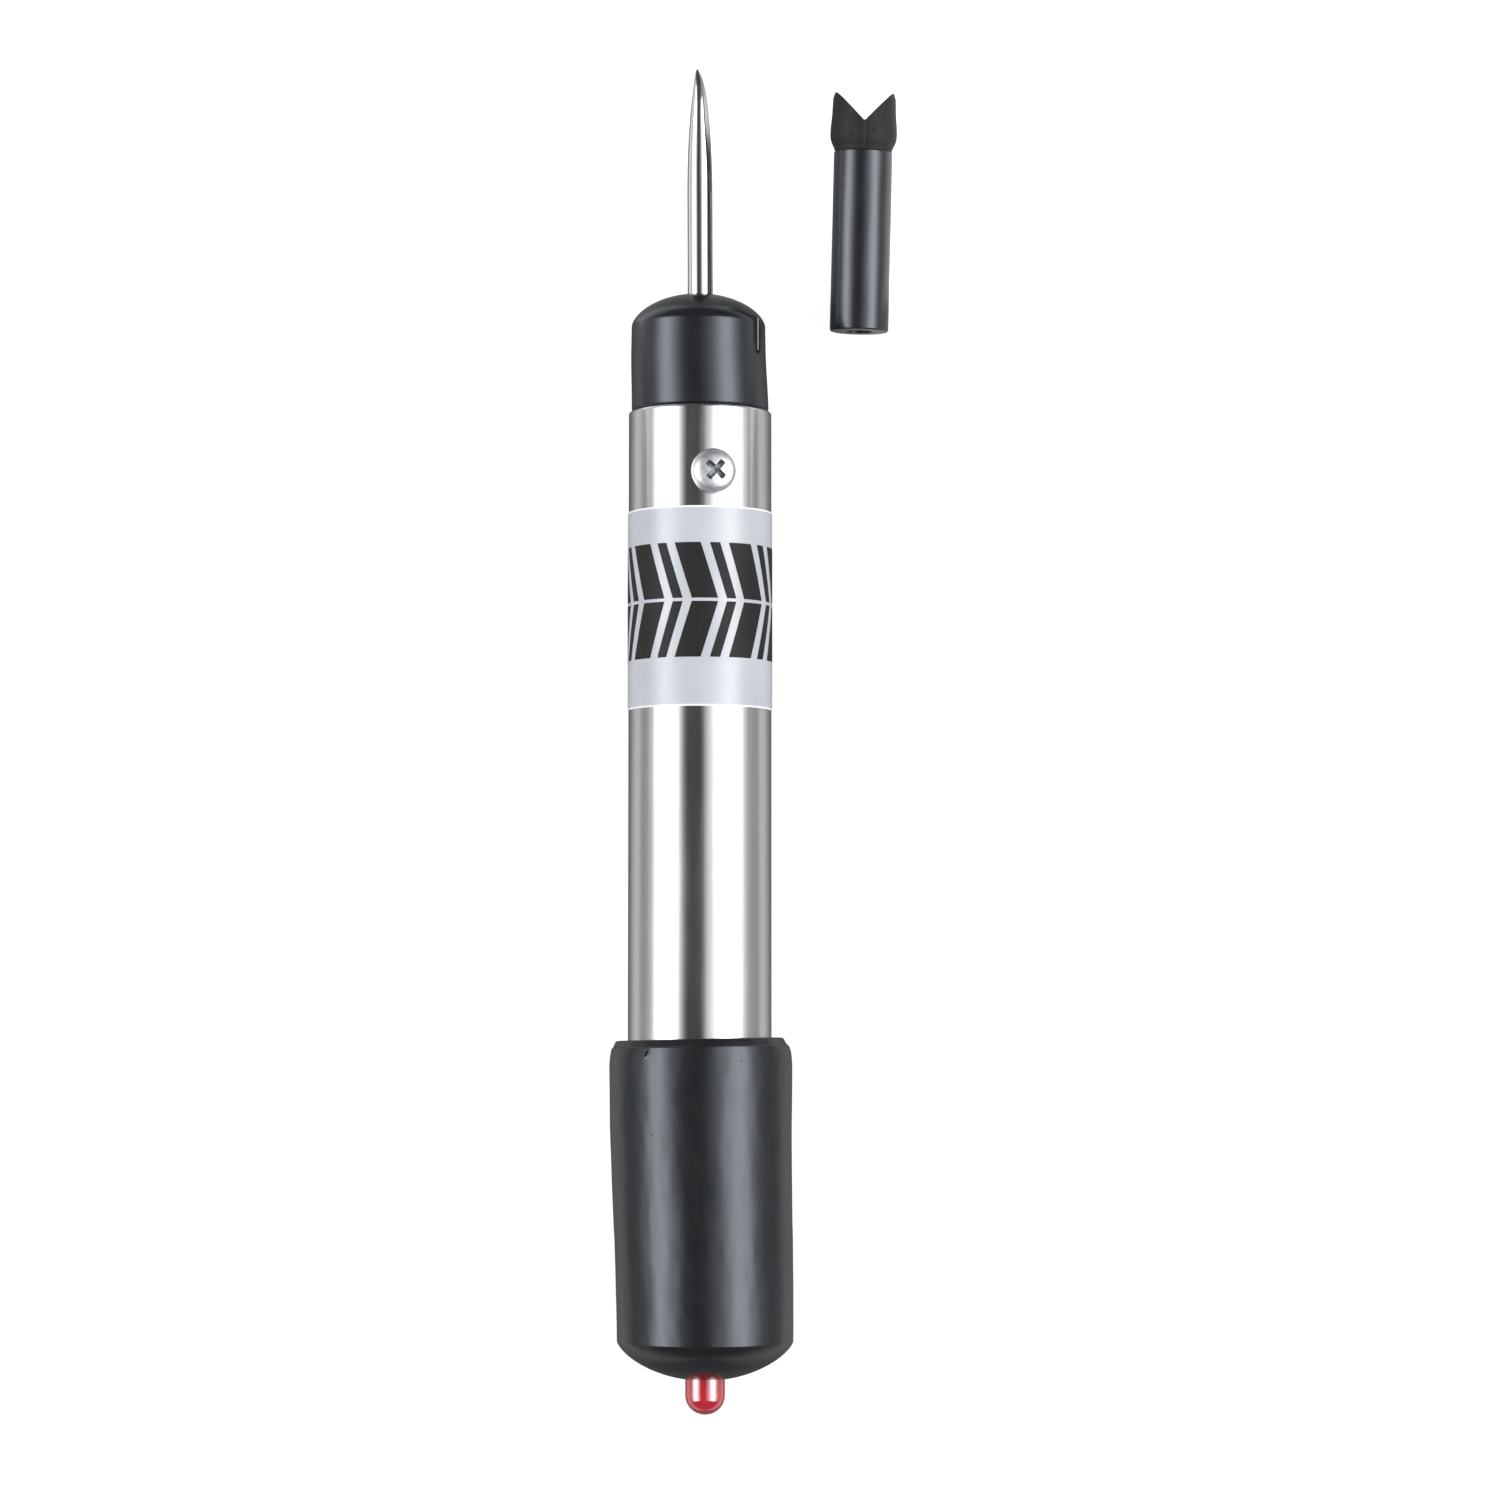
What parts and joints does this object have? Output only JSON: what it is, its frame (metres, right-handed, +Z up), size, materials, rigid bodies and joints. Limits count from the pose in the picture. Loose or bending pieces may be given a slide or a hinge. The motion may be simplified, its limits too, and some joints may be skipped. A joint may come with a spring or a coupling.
{
  "type": "circuit tester",
  "caption": "Cordless circuit tester: needle probe in a black nose, plated barrel, soft boot with a red lamp, and a notched needle guard beside it.",
  "frame": {"origin": "on the tool's axis, where the needle leaves the nose", "axes": "+Y along the tool towards the needle's point, +Z up, with the nose screw on top; the tool and its guard lie on a surface below"},
  "size_m": [0.0366, 0.1697, 0.023],
  "materials": {
    "polished_steel": "polished, drawn along its length",
    "plated_barrel": "bright nickel plate with fine lengthwise drawing lines",
    "zinc_screw": "bright zinc plate",
    "nose_plastic": "gloss black moulding",
    "label_film": "satin silver film with black printed bars",
    "boot_vinyl": "soft black vinyl, satin, lightly pitted",
    "lamp_epoxy": "clear red epoxy",
    "lamp_frame": "tinned steel",
    "contact_brass": "stamped brass",
    "spring_steel": "nickelled spring wire",
    "liner_plastic": "natural moulded plastic",
    "carrier_plastic": "white moulded plastic",
    "cell_steel": "nickelled steel",
    "cell_film": "plain printed film",
    "board_laminate": "solder-masked laminate",
    "component_body": "moulded epoxy",
    "guard_head_plastic": "matte black moulding",
    "guard_sleeve_plastic": "satin black tube"
  },
  "bodies": {
    "handle": {"probe_needle": "polished_steel", "needle_ferrule": "contact_brass", "nose_insulator": "nose_plastic", "nose_screw": "zinc_screw", "barrel": "plated_barrel", "label_band": "label_film", "contact_disc": "contact_brass", "front_spring": "spring_steel", "battery_liner": "liner_plastic", "supply_strip": "contact_brass"},
    "front_cell": {"front_cell_can": "cell_steel", "front_cell_cap": "cell_steel", "front_cell_jacket": "cell_film"},
    "rear_cell": {"rear_cell_can": "cell_steel", "rear_cell_cap": "cell_steel", "rear_cell_jacket": "cell_film"},
    "lamp_cap": {"rear_spring": "spring_steel", "battery_contact": "contact_brass", "circuit_board": "board_laminate", "transistors": "component_body", "resistors": "component_body", "barrel_contact": "contact_brass", "lamp_leads": "lamp_frame", "lamp_lens": "lamp_epoxy", "lamp_carrier": "carrier_plastic", "boot": "boot_vinyl"},
    "needle_guard": {"guard_head": "guard_head_plastic", "guard_sleeve": "guard_sleeve_plastic"}
  },
  "joints": [
    {"name": "boot_pull", "type": "slide", "parent": "handle", "child": "lamp_cap", "axis": [0, -1, 0], "range_m": [0, 0.09]},
    {"name": "rear_cell_slide", "type": "slide", "parent": "handle", "child": "rear_cell", "axis": [0, -1, 0], "range_m": [0, 0.054]},
    {"name": "front_cell_slide", "type": "slide", "parent": "handle", "child": "front_cell", "axis": [0, -1, 0], "range_m": [0, 0.045]},
    {"name": "guard_slide", "type": "slide", "parent": "handle", "child": "needle_guard", "axis": [0.0244, 0.9984, 0.0505], "range_m": [0, 0.0306]}
  ],
  "couplings": [
    {"joint": "rear_cell_slide", "follows": "boot_pull", "ratio": 0.6},
    {"joint": "front_cell_slide", "follows": "boot_pull", "ratio": 0.5}
  ]
}
